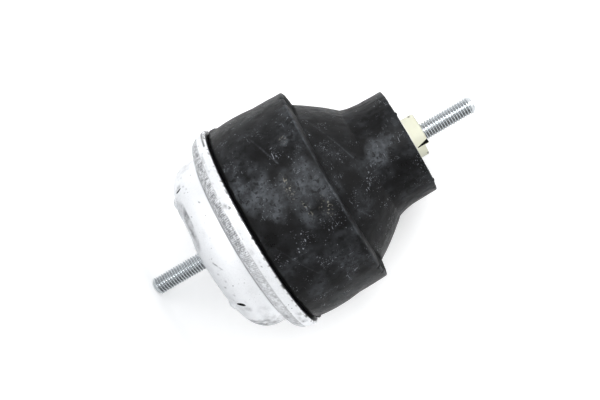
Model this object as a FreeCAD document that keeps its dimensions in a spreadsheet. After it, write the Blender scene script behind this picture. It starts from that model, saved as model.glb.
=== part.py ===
"""Hydraulic engine mount: an aluminium can crimped round a bonded rubber spring, with a stud at each end.

The origin is the centre of the can's flat bottom and +Z runs along the studs, towards the rubber neck.
Lengths are millimetres and angles are degrees.
"""

import FreeCAD, Part
import math
import os
import Sketcher

Vector = FreeCAD.Vector
Rotation = FreeCAD.Rotation

# The driving sizes: alias, value, and what it measures.
SIZES = [
    # Can
    ("can_radius", 40.6, "outside of the can's wall"),
    ("can_corner", 11.5, "outside radius of the corner between bottom and wall"),
    ("can_wall", 2.2, "thickness of the can's wall and bottom"),
    ("shoulder_low", 15.6, "height where the wall starts to flare"),
    ("shoulder_lift", 0.6, "bevel between wall and shoulder"),
    ("shoulder_reach", 43.9, "radius where the shoulder's flat underside ends"),
    ("shoulder_rise", 0.5, "how much that underside slopes up"),
    ("shoulder_radius", 47.9, "outside of the shoulder where the crimp band starts"),
    ("shoulder_top", 21.0, "height of the shoulder where the crimp band starts"),
    ("shoulder_bend", 5.6, "outside radius of the shoulder's round corner"),
    ("seat_bend", 2.2, "bevel inside the shoulder"),
    ("seat_height", 18.2, "height of the inside of the shoulder, where the stack sits"),
    ("seat_bevel", 1.0, "bevel between that seat and the can's wall"),
    ("pocket_radius", 46.0, "inside of the crimp band"),
    ("crimp_radius", 48.8, "outside of the crimp band at its top"),
    ("crimp_top", 25.5, "height of the rolled lip"),
    ("crimp_edge", 0.7, "bevel on the rolled lip's corner"),
    ("lip_radius", 44.6, "inner edge of the rolled lip"),
    ("lip_wall", 1.2, "thickness of the rolled lip"),
    # Lanced slots in the can's corner
    ("slot_count", 4, "slots round the corner"),
    ("slot_length", 3.9, "length of a slot"),
    ("slot_width", 1.3, "width of a slot"),
    ("slot_turn", -52.0, "angle of the first slot about Z, from +X"),
    ("slot_tilt", 34.4, "how far a slot's centre faces below the horizontal"),
    ("slot_twist", 20.0, "turn of a slot out of the plane through Z"),
    ("overcut", 1.0, "how far a cut starts or ends outside the metal"),
    # Studs
    ("thread_radius", 4.0, "outside of the M8 thread"),
    ("shank_radius", 3.6, "plain shank under the collar"),
    ("thread_chamfer", 1.0, "how much a stud narrows at its end"),
    ("low_tip", -29.4, "height of the lower stud's end"),
    ("low_chamfer", 1.8, "length of the lower stud's chamfer"),
    ("press_radius", 4.5, "knurled press fit of either stud"),
    ("head_radius", 13.0, "the lower stud's head, inside the can"),
    ("head_top", 5.2, "height of the lower stud's head"),
    ("head_edge", 0.8, "bevel of the lower stud's head"),
    ("high_tip", 131.2, "height of the upper stud's end"),
    ("high_dome", 4.25, "radius of the upper stud's domed end"),
    ("dome_rise", 0.5, "height of that dome"),
    ("dome_flat", 1.0, "flat in the middle of that dome"),
    ("press_low", 76.0, "blind end of the upper stud in the core"),
    ("press_high", 96.0, "end of the upper stud's press fit"),
    # Bellows
    ("bellows_wall", 1.6, "thickness of the rolling bellows"),
    ("bead_height", 2.2, "height of the bellows' clamped bead"),
    ("bead_outer", 43.4, "outside of the bead"),
    ("bead_inner", 39.4, "inside of the bead"),
    ("bead_bend", 1.8, "bevel between the bead and the outer limb"),
    ("limb_radius", 36.8, "can side of the bellows' outer limb"),
    ("valley_radius", 28.8, "can side of the bellows' inner limb"),
    ("fold_low", 6.0, "underside of the fold"),
    ("fold_bevel", 2.0, "bevel outside a fold"),
    ("fold_inside", 1.1, "bevel inside a fold"),
    ("crown_high", 16.0, "height of the bellows' flat middle"),
    # Plates and membrane
    ("plate_radius", 45.8, "rim of both plates and of the ring's flange"),
    ("cover_wall", 1.0, "thickness of the cover plate"),
    ("rim_wall", 1.4, "thickness of the channel plate's rim"),
    ("drum_radius", 36.2, "outside of the channel plate's drum"),
    ("drum_height", 8.6, "height of the drum above the cover plate"),
    ("drum_edge", 1.2, "bevel of the drum's top edge"),
    ("channel_inner", 22.4, "inner radius of the fluid channel"),
    ("channel_outer", 33.0, "outer radius of the fluid channel"),
    ("channel_depth", 6.2, "height of the fluid channel"),
    ("channel_sweep", 300.0, "how far the channel runs round the plate"),
    ("port_radius", 3.0, "inlet and outlet of the channel"),
    ("port_ring", 28.4, "radius on which both ports lie"),
    ("port_turn", 8.0, "angle between a port and the channel's end"),
    ("well_radius", 18.6, "recess that holds the membrane"),
    ("well_depth", 3.2, "height of that recess"),
    ("dish_radius", 17.0, "dish in the drum's top over the membrane"),
    ("dish_bevel", 1.5, "bevel round that dish"),
    ("grid_wall", 1.8, "thickness of the grid over the membrane"),
    ("window_count", 6, "windows in each grid"),
    ("window_radius", 2.4, "radius of a window"),
    ("window_ring", 10.6, "radius of the ring of windows"),
    ("membrane_radius", 18.0, "outside of the decoupler membrane"),
    ("membrane_rim", 2.8, "height of the membrane's rim"),
    ("membrane_rim_width", 2.6, "width of the membrane's rim"),
    ("membrane_web", 1.4, "thickness of the membrane's web"),
    ("membrane_lift", 0.7, "gap under that web"),
    # Bonded ring
    ("flange_wall", 1.5, "thickness of the outer ring's flange"),
    ("ring_inner", 40.6, "inside of the outer ring's tube"),
    ("ring_wall", 1.8, "thickness of the outer ring"),
    ("ring_bend", 46.0, "height where the ring starts to draw in"),
    ("ring_top", 57.4, "height of the ring's drawn-in end"),
    ("ring_draw", 3.2, "how far the ring draws in"),
    ("ring_offset", 0.5, "how much higher the ring's outside bends"),
    # Rubber
    ("chamber_radius", 37.2, "wall of the fluid chamber under the rubber"),
    ("chamber_side", 41.0, "height where the chamber starts to close"),
    ("chamber_knee", 28.8, "radius of the knee in the chamber's closing side"),
    ("knee_height", 53.2, "height of that knee"),
    ("crown_edge", 16.0, "radius where the chamber's crown starts"),
    ("crown_foot", 60.6, "height where the chamber's crown starts"),
    ("crown_flat", 6.0, "flat in the middle of the crown"),
    ("chamber_top", 63.2, "height of the chamber's top"),
    ("flash_radius", 47.8, "rubber squeezed out over the crimp"),
    ("flash_wall", 1.1, "height of that squeezed edge"),
    ("flash_edge", 0.4, "bevel of the squeezed edge"),
    ("waist_radius", 46.4, "sleeve just above the crimp"),
    ("waist_height", 28.0, "height of that waist"),
    ("belly_radius", 47.0, "sleeve at its fullest"),
    ("belly_height", 38.0, "height of that belly"),
    ("belly_top", 48.0, "height where the belly ends"),
    ("rim_radius", 46.0, "sleeve under its rim"),
    ("rim_height", 61.4, "height where the rim's bevel starts"),
    ("rim_edge", 1.1, "bevel of the rim"),
    ("cone_foot", 39.2, "foot of the rubber cone"),
    ("step_height", 63.2, "height of the step at the cone's foot"),
    ("cone_knee", 33.2, "radius halfway up the cone's slightly full side"),
    ("cone_middle", 71.9, "height of that knee"),
    ("neck_foot", 26.5, "neck where the cone ends"),
    ("crease_height", 80.0, "height of the crease between cone and neck"),
    ("neck_bend", 31.0, "radius of the neck's hollow"),
    ("neck_radius", 24.7, "neck"),
    ("neck_straight", 90.4, "height where the neck's hollow ends"),
    ("neck_taper", 0.2, "how much the neck narrows to its end"),
    ("neck_edge", 0.6, "bevel of the neck's end"),
    ("face_height", 99.6, "rubber face at the neck's end"),
    # Core
    ("core_radius", 18.5, "core in the neck"),
    ("core_shoulder", 84.0, "height where the core reaches its full radius"),
    ("core_tip", 9.0, "radius of the core's lower end"),
    ("core_low", 66.6, "height of the core's lower end"),
    ("core_seat", 99.9, "height of the core's bare seat"),
    ("recess_depth", 0.6, "recess in the seat that holds the collar's foot"),
    ("recess_gap", 0.2, "gap round the collar in that recess"),
    # Locating collar
    ("collar_radius", 9.4, "outside of the nylon collar"),
    ("collar_height", 6.4, "height of the collar above the core"),
    ("collar_step", 2.0, "how much lower the collar's cut-down side is"),
    ("collar_edge", 0.4, "bevel of the collar's top edge"),
    ("collar_mouth", 1.0, "countersink in the collar's bore"),
    ("collar_turn", 29.0, "angle of the collar's split about Z"),
    ("split_mouth", 2.3, "width of the split at the top"),
    ("split_side", 0.3, "how far the split's upright side is from its foot"),
    ("split_foot", 1.0, "height of the split's foot above the core"),
    ("cut_sweep", 126.0, "how far the cut-down side runs round the collar"),
]

VALUES = {alias: value for alias, value, meaning in SIZES}

doc = FreeCAD.newDocument("engine_mount")
sheet = doc.addObject("Spreadsheet::Sheet", "sizes")
for row, (alias, value, meaning) in enumerate(SIZES, start=1):
    sheet.set("A%d" % row, alias)
    sheet.set("B%d" % row, str(value))
    sheet.set("C%d" % row, meaning)
    sheet.setAlias("B%d" % row, alias)
doc.recompute()


def worth(terms):
    """Adds up a written sum such as 'can_radius - can_wall'."""
    total, sign = 0.0, 1.0
    for word in terms.split():
        if word in ("+", "-"):
            sign = 1.0 if word == "+" else -1.0
        else:
            total += sign * (VALUES[word] if word in VALUES else float(word))
    return total


def bound(terms):
    """The same sum as an expression that reads the sheet."""
    return " ".join("sizes." + word if word in VALUES else word for word in terms.split())


def origin_plane(body, role):
    """One of a body's own origin planes, such as XZ_Plane."""
    return next(f for f in body.Origin.OriginFeatures if f.Role == role)


def new_body(label):
    """An empty body whose label names the sub-part."""
    body = doc.addObject("PartDesign::Body", label)
    body.Label = label
    return body


def new_sketch(body, name, role):
    """A sketch lying in one of the body's origin planes."""
    sketch = body.newObject("Sketcher::SketchObject", name)
    sketch.AttachmentSupport = (origin_plane(body, role), [""])
    sketch.MapMode = "FlatFace"
    return sketch


def bind(sketch, kind, terms, *where):
    """Adds a constraint whose value follows the sheet."""
    index = sketch.addConstraint(Sketcher.Constraint(kind, *where, worth(terms)))
    sketch.setExpression("Constraints[%d]" % index, bound(terms))


def pin_point(sketch, edge, end, across, up):
    """Holds one end of an edge at a place given by two sums; 0 puts it on the sketch's own axis."""
    for kind, terms, axis in (("DistanceX", across, -2), ("DistanceY", up, -1)):
        if terms == "0":
            sketch.addConstraint(Sketcher.Constraint("PointOnObject", edge, end, axis))
        else:
            bind(sketch, kind, terms, -1, 1, edge, end)


def arc_between(start, end, radius, left):
    """The short arc from start to end, turning left or right."""
    chord = end - start
    middle = (start + end) * 0.5
    side = Vector(-chord.y, chord.x, 0).normalize() * (1 if left else -1)
    centre = middle + side * math.sqrt(max(radius**2 - chord.Length**2 / 4, 0.0))
    first, last = [math.atan2(p.y - centre.y, p.x - centre.x) for p in (start, end)]
    circle = Part.Circle(centre, Vector(0, 0, 1), radius)
    if left:
        return Part.ArcOfCircle(circle, first, last), 1, 2
    return Part.ArcOfCircle(circle, last, first), 2, 1


def draw_outline(sketch, corners):
    """Draws a closed outline through corners, each (across, up) with an optional arc for the edge before it.

    An arc is a radius and the way it turns, such as 'can_corner left'.
    """
    points = [Vector(worth(c[0]), worth(c[1]), 0) for c in corners]
    ends = []
    for index, corner in enumerate(corners):
        start, end = points[index - 1], points[index]
        if len(corner) == 2:
            edge, first, last = sketch.addGeometry(Part.LineSegment(start, end)), 1, 2
        else:
            terms, way = corner[2].rsplit(" ", 1)
            arc, first, last = arc_between(start, end, worth(terms), way == "left")
            edge = sketch.addGeometry(arc)
        ends.append((edge, first, last))
    for index, (edge, first, last) in enumerate(ends):
        before = ends[index - 1]
        sketch.addConstraint(Sketcher.Constraint("Coincident", before[0], before[2], edge, first))
        pin_point(sketch, edge, last, corners[index][0], corners[index][1])
    for index, corner in enumerate(corners):
        if len(corner) > 2:
            bind(sketch, "Radius", corner[2].rsplit(" ", 1)[0], ends[index][0])


def revolve(body, name, corners, feature="PartDesign::Revolution", sweep=None):
    """Turns an outline in the XZ plane about Z, as solid or as a groove."""
    sketch = new_sketch(body, name + "_outline", "XZ_Plane")
    draw_outline(sketch, corners)
    doc.recompute()
    turned = body.newObject(feature, name)
    turned.Profile = sketch
    turned.ReferenceAxis = (sketch, ["V_Axis"])
    turned.Angle = 360
    if sweep:
        turned.setExpression("Angle", bound(sweep))
    doc.recompute()
    return turned


def draw_circle(sketch, across, up, radius):
    """A circle at a place given by two sums."""
    centre = Vector(worth(across), worth(up), 0)
    edge = sketch.addGeometry(Part.Circle(centre, Vector(0, 0, 1), worth(radius)))
    pin_point(sketch, edge, 3, across, up)
    bind(sketch, "Radius", radius, edge)


def cut(body, name, sketch, depth, against_normal=True):
    """A pocket from a sketch, which must take something away."""
    before = body.Shape.Volume
    pocket = body.newObject("PartDesign::Pocket", name)
    pocket.Profile = sketch
    pocket.Length = worth(depth)
    pocket.setExpression("Length", bound(depth))
    pocket.Reversed = not against_normal
    doc.recompute()
    if pocket.Shape.Volume > before - 1e-3:
        raise RuntimeError("%s.%s cuts nothing" % (body.Label, name))
    return pocket


def ring_of(body, name, feature, count):
    """Repeats a feature evenly round Z."""
    pattern = body.newObject("PartDesign::PolarPattern", name)
    pattern.Originals = [feature]
    pattern.Axis = (next(f for f in body.Origin.OriginFeatures if f.Role == "Z_Axis"), [""])
    pattern.Angle = 360
    pattern.Occurrences = int(VALUES[count])
    pattern.setExpression("Occurrences", bound(count))
    body.Tip = pattern
    doc.recompute()
    return pattern


def raise_plane(sketch, height):
    """Lifts a sketch off its origin plane."""
    sketch.AttachmentOffset = FreeCAD.Placement(Vector(0, 0, worth(height)), Rotation())
    sketch.setExpression("AttachmentOffset.Base.z", bound(height))


def turn_body(body, angle):
    """Turns a whole body about Z by an angle from the sheet."""
    body.Placement = FreeCAD.Placement(Vector(), Rotation(Vector(0, 0, 1), worth(angle)))
    body.setExpression("Placement.Rotation.Angle", bound(angle))


# Heights of the clamped stack, from the can's seat up to the rolled lip.
BEAD_TOP = "seat_height + bead_height"
COVER_TOP = BEAD_TOP + " + cover_wall"
RIM_TOP = COVER_TOP + " + rim_wall"
FLANGE_TOP = RIM_TOP + " + flange_wall"


def make_can():
    """A drawn can: flat bottom, round corner, flared shoulder and a lip rolled in over the stack."""
    body = new_body("base_can")
    inner = "can_radius - can_wall"
    revolve(body, "can_shell", [
        ("press_radius", "0"),
        ("can_radius - can_corner", "0"),
        ("can_radius", "can_corner", "can_corner left"),
        ("can_radius", "shoulder_low"),
        ("can_radius + shoulder_lift", "shoulder_low + shoulder_lift"),
        ("shoulder_reach", "shoulder_low + shoulder_lift + shoulder_rise"),
        ("shoulder_radius", "shoulder_top", "shoulder_bend left"),
        ("crimp_radius", "crimp_top - crimp_edge"),
        ("crimp_radius - crimp_edge", "crimp_top"),
        ("lip_radius", "crimp_top"),
        ("lip_radius", "crimp_top - lip_wall"),
        ("pocket_radius", "crimp_top - lip_wall"),
        ("pocket_radius", "seat_height + seat_bend"),
        ("pocket_radius - seat_bend", "seat_height"),
        (inner + " + seat_bevel", "seat_height"),
        (inner, "seat_height - seat_bevel"),
        (inner, "can_corner"),
        ("can_radius - can_corner", "can_wall", "can_corner - can_wall right"),
        ("press_radius", "can_wall"),
    ])
    add_slots(body)
    turn_body(body, "slot_turn")
    return body


def add_slots(body):
    """Lanced slots through the round corner, each facing outwards and down."""
    sketch = new_sketch(body, "slot_outline", "YZ_Plane")
    tilt = math.radians(worth("slot_tilt"))
    reach = worth("can_corner + overcut")
    centre = Vector(0, worth("can_corner") - reach * math.sin(tilt),
                    worth("can_radius - can_corner") + reach * math.cos(tilt))
    sketch.AttachmentOffset = FreeCAD.Placement(centre, Rotation(Vector(1, 0, 0), worth("slot_tilt")))
    sketch.setExpression("AttachmentOffset.Base.y",
                         "sizes.can_corner - (sizes.can_corner + sizes.overcut) * sin(sizes.slot_tilt)")
    sketch.setExpression("AttachmentOffset.Base.z",
                         "sizes.can_radius - sizes.can_corner"
                         " + (sizes.can_corner + sizes.overcut) * cos(sizes.slot_tilt)")
    sketch.setExpression("AttachmentOffset.Rotation.Angle", "sizes.slot_tilt")
    draw_slot(sketch, "slot_length", "slot_width", "slot_twist")
    slot = cut(body, "slot", sketch, "can_wall + overcut + overcut")
    ring_of(body, "slots", slot, "slot_count")


def draw_slot(sketch, length, width, twist):
    """A round-ended slot about the sketch's origin, leaning by twist from upright."""
    half_width = worth(width) / 2
    half_run = worth(length) / 2 - half_width
    lean = math.radians(worth(twist))
    along = Vector(math.sin(lean), math.cos(lean), 0)
    across = Vector(along.y, -along.x, 0)
    top, low = along * half_run, along * -half_run
    up = math.atan2(along.y, along.x)
    circle = [Part.Circle(p, Vector(0, 0, 1), half_width) for p in (top, low)]
    cap = sketch.addGeometry(Part.ArcOfCircle(circle[0], up - math.pi / 2, up + math.pi / 2))
    foot = sketch.addGeometry(Part.ArcOfCircle(circle[1], up + math.pi / 2, up + 3 * math.pi / 2))
    left = sketch.addGeometry(Part.LineSegment(top - across * half_width, low - across * half_width))
    right = sketch.addGeometry(Part.LineSegment(low + across * half_width, top + across * half_width))
    for first, end, second, start in ((cap, 2, left, 1), (left, 2, foot, 1),
                                      (foot, 2, right, 1), (right, 2, cap, 1)):
        sketch.addConstraint(Sketcher.Constraint("Tangent", first, end, second, start))
    sketch.addConstraint(Sketcher.Constraint("Symmetric", cap, 3, foot, 3, -1, 1))
    for kind, expression, value, where in (
        ("Radius", "sizes.%s / 2" % width, half_width, (cap,)),
        ("Distance", "sizes.%s - sizes.%s" % (length, width), 2 * half_run, (cap, 3, foot, 3)),
        ("Angle", "90 deg - sizes.%s * 1 deg" % twist, math.pi / 2 - lean, (right,)),
    ):
        index = sketch.addConstraint(Sketcher.Constraint(kind, *where, value))
        sketch.setExpression("Constraints[%d]" % index, expression)


def make_lower_stud():
    """An M8 stud with a wide head inside the can and a press fit in its bottom."""
    body = new_body("lower_stud")
    revolve(body, "stud", [
        ("0", "low_tip"),
        ("thread_radius - thread_chamfer", "low_tip"),
        ("thread_radius", "low_tip + low_chamfer"),
        ("thread_radius", "0"),
        ("press_radius", "0"),
        ("press_radius", "can_wall"),
        ("head_radius", "can_wall"),
        ("head_radius", "head_top - head_edge"),
        ("head_radius - head_edge", "head_top"),
        ("0", "head_top"),
    ])
    return body


def make_bellows():
    """A rubber bellows that folds once down the can's wall and is clamped by its bead."""
    body = new_body("bellows")
    under_bead = BEAD_TOP + " - bellows_wall"
    inner_limb = "valley_radius + bellows_wall"
    outer_limb = "limb_radius - bellows_wall"
    revolve(body, "skin", [
        ("bead_inner", "seat_height"),
        ("bead_inner", under_bead),
        ("limb_radius + bead_bend", under_bead),
        ("limb_radius", under_bead + " - bead_bend"),
        ("limb_radius", "fold_low + fold_bevel"),
        ("limb_radius - fold_bevel", "fold_low"),
        ("valley_radius + fold_bevel", "fold_low"),
        ("valley_radius", "fold_low + fold_bevel"),
        ("valley_radius", "crown_high - bellows_wall - fold_inside"),
        ("valley_radius - fold_inside", "crown_high - bellows_wall"),
        ("0", "crown_high - bellows_wall"),
        ("0", "crown_high"),
        (inner_limb + " - fold_bevel", "crown_high"),
        (inner_limb, "crown_high - fold_bevel"),
        (inner_limb, "fold_low + bellows_wall + fold_inside"),
        (inner_limb + " + fold_inside", "fold_low + bellows_wall"),
        (outer_limb + " - fold_inside", "fold_low + bellows_wall"),
        (outer_limb, "fold_low + bellows_wall + fold_inside"),
        (outer_limb, BEAD_TOP + " - bellows_wall - fold_inside"),
        (outer_limb + " + bead_bend", BEAD_TOP),
        ("bead_outer", BEAD_TOP),
        ("bead_outer", "seat_height"),
    ])
    return body


def add_windows(body, height, depth):
    """A ring of round windows with one in the middle, cut downwards from a height."""
    sketch = new_sketch(body, "window_outline", "XY_Plane")
    raise_plane(sketch, height)
    draw_circle(sketch, "window_ring", "0", "window_radius")
    window = cut(body, "window", sketch, depth)
    ring_of(body, "windows", window, "window_count")
    middle = new_sketch(body, "middle_outline", "XY_Plane")
    raise_plane(middle, height)
    draw_circle(middle, "0", "0", "window_radius")
    cut(body, "middle_window", middle, depth)


def add_port(body, height, depth, turn):
    """One opening of the fluid channel, at an angle about Z, cut downwards from a height."""
    sketch = new_sketch(body, "port_outline", "XY_Plane")
    sketch.AttachmentOffset = FreeCAD.Placement(Vector(0, 0, worth(height)),
                                                Rotation(Vector(0, 0, 1), worth(turn)))
    sketch.setExpression("AttachmentOffset.Base.z", bound(height))
    sketch.setExpression("AttachmentOffset.Rotation.Angle", bound(turn))
    draw_circle(sketch, "port_ring", "0", "port_radius")
    cut(body, "port", sketch, depth)


def make_cover_plate():
    """The pressed plate that closes the channel from below."""
    body = new_body("cover_plate")
    revolve(body, "disc", [
        ("0", BEAD_TOP),
        ("plate_radius", BEAD_TOP),
        ("plate_radius", COVER_TOP),
        ("0", COVER_TOP),
    ])
    add_windows(body, COVER_TOP, "cover_wall")
    add_port(body, COVER_TOP, "cover_wall", "channel_sweep - port_turn")
    return body


def make_channel_plate():
    """The cast plate whose long channel, open below, damps the mount's slow, large movements."""
    body = new_body("channel_plate")
    drum_top = COVER_TOP + " + drum_height"
    grid_top = COVER_TOP + " + well_depth + grid_wall"
    revolve(body, "casting", [
        ("0", COVER_TOP + " + well_depth"),
        ("well_radius", COVER_TOP + " + well_depth"),
        ("well_radius", COVER_TOP),
        ("plate_radius", COVER_TOP),
        ("plate_radius", RIM_TOP),
        ("drum_radius", RIM_TOP),
        ("drum_radius", drum_top + " - drum_edge"),
        ("drum_radius - drum_edge", drum_top),
        ("dish_radius + dish_bevel", drum_top),
        ("dish_radius", drum_top + " - dish_bevel"),
        ("dish_radius", grid_top),
        ("0", grid_top),
    ])
    revolve(body, "channel", [
        ("channel_inner", COVER_TOP),
        ("channel_outer", COVER_TOP),
        ("channel_outer", COVER_TOP + " + channel_depth"),
        ("channel_inner", COVER_TOP + " + channel_depth"),
    ], "PartDesign::Groove", "channel_sweep")
    add_windows(body, grid_top, "grid_wall")
    add_port(body, drum_top, "drum_height - channel_depth + overcut", "port_turn")
    return body


def make_membrane():
    """The decoupler: a rubber disc, loose between the two grids, thick at its rim."""
    body = new_body("decoupler_membrane")
    web = "membrane_radius - membrane_rim_width"
    web_low = COVER_TOP + " + membrane_lift"
    revolve(body, "disc", [
        ("0", web_low),
        (web, web_low),
        (web, COVER_TOP),
        ("membrane_radius", COVER_TOP),
        ("membrane_radius", COVER_TOP + " + membrane_rim"),
        (web, COVER_TOP + " + membrane_rim"),
        (web, web_low + " + membrane_web"),
        ("0", web_low + " + membrane_web"),
    ])
    return body


# The ring's outline, which the rubber's own outline follows where the two are bonded.
RING_INSIDE = [
    ("ring_inner", RIM_TOP),
    ("ring_inner", "ring_bend"),
    ("ring_inner - ring_draw", "ring_top"),
]
RING_OUTSIDE = [
    ("ring_inner + ring_wall - ring_draw", "ring_top + ring_offset"),
    ("ring_inner + ring_wall", "ring_bend + ring_offset"),
    ("ring_inner + ring_wall", FLANGE_TOP),
]


def make_outer_ring():
    """The pressed steel ring: a flange for the crimp and a tube bonded inside the rubber."""
    body = new_body("outer_ring")
    flange = [("plate_radius", FLANGE_TOP), ("plate_radius", RIM_TOP)]
    revolve(body, "ring", RING_INSIDE + RING_OUTSIDE + flange)
    return body


# The core's outline below its seat, which the rubber's own outline follows.
CORE_SIDE = [
    ("0", "core_low"),
    ("core_tip", "core_low"),
    ("core_radius", "core_shoulder"),
    ("core_radius", "face_height"),
]


def make_rubber_spring():
    """The moulding that carries the load: bellied sleeve, step, full-sided cone and hollowed neck."""
    body = new_body("rubber_spring")
    bond = RING_INSIDE + RING_OUTSIDE
    outside = [
        ("lip_radius", FLANGE_TOP),
        ("lip_radius", "crimp_top"),
        ("flash_radius - flash_edge", "crimp_top"),
        ("flash_radius", "crimp_top + flash_edge"),
        ("flash_radius - flash_edge", "crimp_top + flash_wall"),
        ("waist_radius", "waist_height"),
        ("belly_radius", "belly_height"),
        ("waist_radius", "belly_top"),
        ("rim_radius", "rim_height"),
        ("rim_radius - rim_edge", "rim_height + rim_edge"),
        ("cone_foot", "step_height"),
        ("cone_knee", "cone_middle"),
        ("neck_foot", "crease_height"),
        ("neck_radius", "neck_straight", "neck_bend right"),
        ("neck_radius - neck_taper", "face_height - neck_edge"),
        ("neck_radius - neck_taper - neck_edge", "face_height"),
    ]
    inside = [
        ("0", "chamber_top"),
        ("crown_flat", "chamber_top"),
        ("crown_edge", "crown_foot"),
        ("chamber_knee", "knee_height"),
        ("chamber_radius", "chamber_side"),
        ("chamber_radius", RIM_TOP),
    ]
    revolve(body, "moulding", bond + outside + CORE_SIDE[::-1] + inside)
    return body


def make_core():
    """The core bonded in the neck: a tapered plug with a bare seat, a recess and a blind hole."""
    body = new_body("core")
    revolve(body, "plug", CORE_SIDE + [
        ("core_radius", "core_seat"),
        ("collar_radius + recess_gap", "core_seat"),
        ("collar_radius + recess_gap", "core_seat - recess_depth"),
        ("shank_radius", "core_seat - recess_depth"),
        ("shank_radius", "press_high"),
        ("press_radius", "press_high"),
        ("press_radius", "press_low"),
        ("0", "press_low"),
    ])
    return body


def make_upper_stud():
    """An M8 stud pressed into the core, with a plain shank under the collar and a domed end."""
    body = new_body("upper_stud")
    collar_top = "core_seat + collar_height"
    revolve(body, "stud", [
        ("0", "press_low"),
        ("press_radius", "press_low"),
        ("press_radius", "press_high"),
        ("shank_radius", "press_high"),
        ("shank_radius", collar_top),
        ("thread_radius", collar_top),
        ("thread_radius", "high_tip - dome_rise - thread_chamfer"),
        ("thread_radius - thread_chamfer", "high_tip - dome_rise"),
        ("dome_flat", "high_tip", "high_dome left"),
        ("0", "high_tip"),
    ])
    return body


def make_collar():
    """The nylon collar that centres the neck: split by a wedge and cut down on one side of it."""
    body = new_body("locating_collar")
    top = "core_seat + collar_height"
    revolve(body, "collar", [
        ("shank_radius", "core_seat - recess_depth"),
        ("collar_radius", "core_seat - recess_depth"),
        ("collar_radius", top + " - collar_edge"),
        ("collar_radius - collar_edge", top),
        ("shank_radius + collar_mouth", top),
        ("shank_radius", top + " - collar_mouth"),
    ])
    add_cut_down(body, top)
    add_split(body, top)
    turn_body(body, "collar_turn")
    return body


def add_cut_down(body, top):
    """Lowers the collar's top over a sector beside the split."""
    sketch = new_sketch(body, "cut_down_outline", "XY_Plane")
    raise_plane(sketch, top)
    reach = worth("collar_radius + overcut")
    start = math.radians(-90)
    end = start + math.radians(worth("cut_sweep"))
    circle = Part.Circle(Vector(), Vector(0, 0, 1), reach)
    rim = sketch.addGeometry(Part.ArcOfCircle(circle, start, end))
    first = sketch.addGeometry(Part.LineSegment(Vector(), Vector(0, -reach, 0)))
    last = sketch.addGeometry(
        Part.LineSegment(Vector(reach * math.cos(end), reach * math.sin(end), 0), Vector()))
    sketch.addConstraint(Sketcher.Constraint("Coincident", first, 1, -1, 1))
    sketch.addConstraint(Sketcher.Constraint("Coincident", rim, 3, -1, 1))
    sketch.addConstraint(Sketcher.Constraint("Coincident", first, 2, rim, 1))
    sketch.addConstraint(Sketcher.Constraint("Coincident", rim, 2, last, 1))
    sketch.addConstraint(Sketcher.Constraint("Coincident", last, 2, first, 1))
    sketch.addConstraint(Sketcher.Constraint("Vertical", first))
    bind(sketch, "Radius", "collar_radius + overcut", rim)
    index = sketch.addConstraint(
        Sketcher.Constraint("Angle", first, 1, last, 2, math.radians(worth("cut_sweep"))))
    sketch.setExpression("Constraints[%d]" % index, "sizes.cut_sweep * 1 deg")
    cut(body, "cut_down", sketch, "collar_step")


def add_split(body, top):
    """A wedge cut in from the outside, narrow at its foot and wide at the top."""
    sketch = new_sketch(body, "split_outline", "XZ_Plane")
    sketch.AttachmentOffset = FreeCAD.Placement(Vector(0, 0, worth("collar_radius + overcut")), Rotation())
    sketch.setExpression("AttachmentOffset.Base.z", bound("collar_radius + overcut"))
    draw_outline(sketch, [
        ("0", "core_seat + split_foot"),
        ("split_side", "core_seat + split_foot"),
        ("split_side", top + " + overcut"),
        ("split_side - split_mouth", top + " + overcut"),
    ])
    cut(body, "split", sketch, "collar_radius + overcut - shank_radius")


MAKERS = [
    make_can, make_lower_stud, make_bellows, make_cover_plate, make_membrane, make_channel_plate,
    make_outer_ring, make_rubber_spring, make_core, make_upper_stud, make_collar,
]
bodies = [make() for make in MAKERS]
doc.recompute()

for item in doc.Objects:
    if "Invalid" in item.State or "Error" in item.State:
        raise RuntimeError("%s did not build: %s" % (item.Label, item.State))
for body in bodies:
    if body.Shape.isNull() or not body.Shape.isValid() or len(body.Shape.Solids) != 1:
        raise RuntimeError("%s is not one sound solid" % body.Label)

os.makedirs("parts", exist_ok=True)
for body in bodies:
    body.Shape.exportStep("parts/%s.step" % body.Label)
    print("%-20s %9.1f mm3" % (body.Label, body.Shape.Volume))
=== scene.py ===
"""Looks for a hydraulic engine mount: turned and displaced pieces, procedural finishes and a studio.

Outlines are (radius, height) in millimetres in the frame's own axes: the origin is the centre of the can's
flat bottom and +Z runs along the studs. Angles round the mount are degrees from its front, -Y, towards +X.
"""

import math

import bmesh
import bpy
import numpy as np
from bpy.props import FloatProperty, FloatVectorProperty, IntProperty, PointerProperty
from bpy.types import Operator, Panel, PropertyGroup
from mathutils import Matrix, Vector


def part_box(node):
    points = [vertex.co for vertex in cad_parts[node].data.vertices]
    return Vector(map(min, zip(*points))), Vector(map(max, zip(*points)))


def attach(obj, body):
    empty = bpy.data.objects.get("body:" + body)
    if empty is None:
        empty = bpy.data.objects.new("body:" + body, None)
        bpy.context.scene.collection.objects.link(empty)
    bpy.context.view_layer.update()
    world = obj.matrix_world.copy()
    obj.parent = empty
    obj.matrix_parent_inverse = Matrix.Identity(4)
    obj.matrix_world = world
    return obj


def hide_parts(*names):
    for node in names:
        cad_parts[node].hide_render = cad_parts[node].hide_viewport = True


bl_info = {
    "name": "Engine mount",
    "version": (1, 0, 0),
    "blender": (4, 5, 0),
    "location": "View3D > Sidebar > Engine mount",
    "description": "Dresses a packed hydraulic engine mount and sets up its studio",
    "category": "Object",
}

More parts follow.
